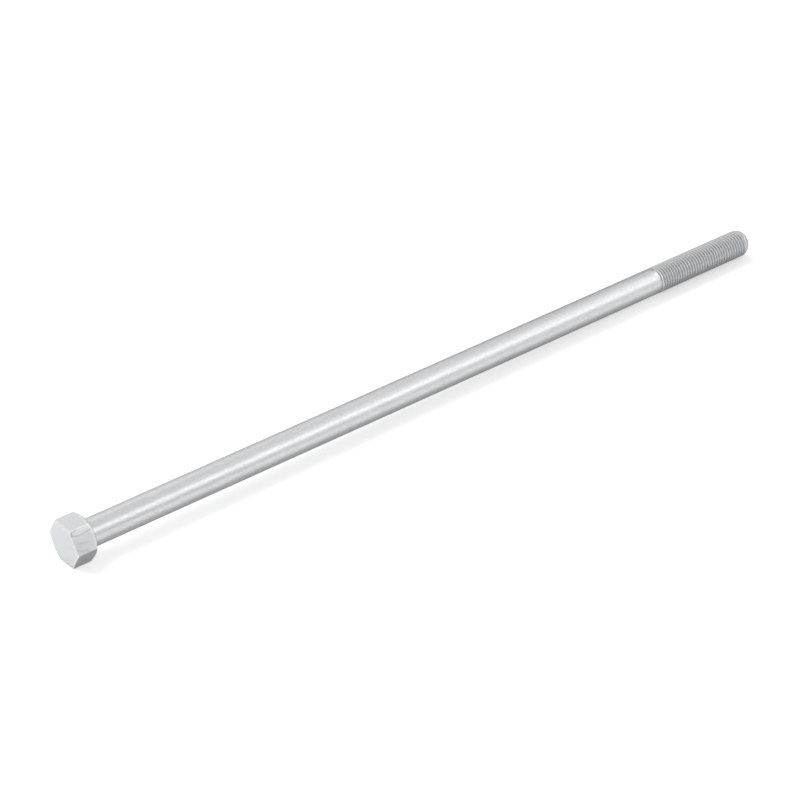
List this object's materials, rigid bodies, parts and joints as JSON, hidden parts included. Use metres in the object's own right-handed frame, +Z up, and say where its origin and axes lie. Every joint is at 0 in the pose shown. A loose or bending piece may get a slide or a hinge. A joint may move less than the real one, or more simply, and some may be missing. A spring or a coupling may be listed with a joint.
{
  "type": "handlebar bolt",
  "caption": "Long hexagon-head bolt with a plain shank, a neck groove and a fine thread at its rounded end.",
  "frame": {"origin": "on the surface that the bolt lies on, below the middle of its overall box", "axes": "+X from the head towards the threaded tip, tipped down 0.48 degrees as the bolt rests; +Z up, square to the surface; one flat of the head down"},
  "size_m": [0.2418, 0.0136, 0.012],
  "materials": {
    "plated_steel": "satin bright plating, drawn along the shank"
  },
  "bodies": {
    "root": {"handlebar_bolt": "plated_steel"}
  },
  "joints": []
}
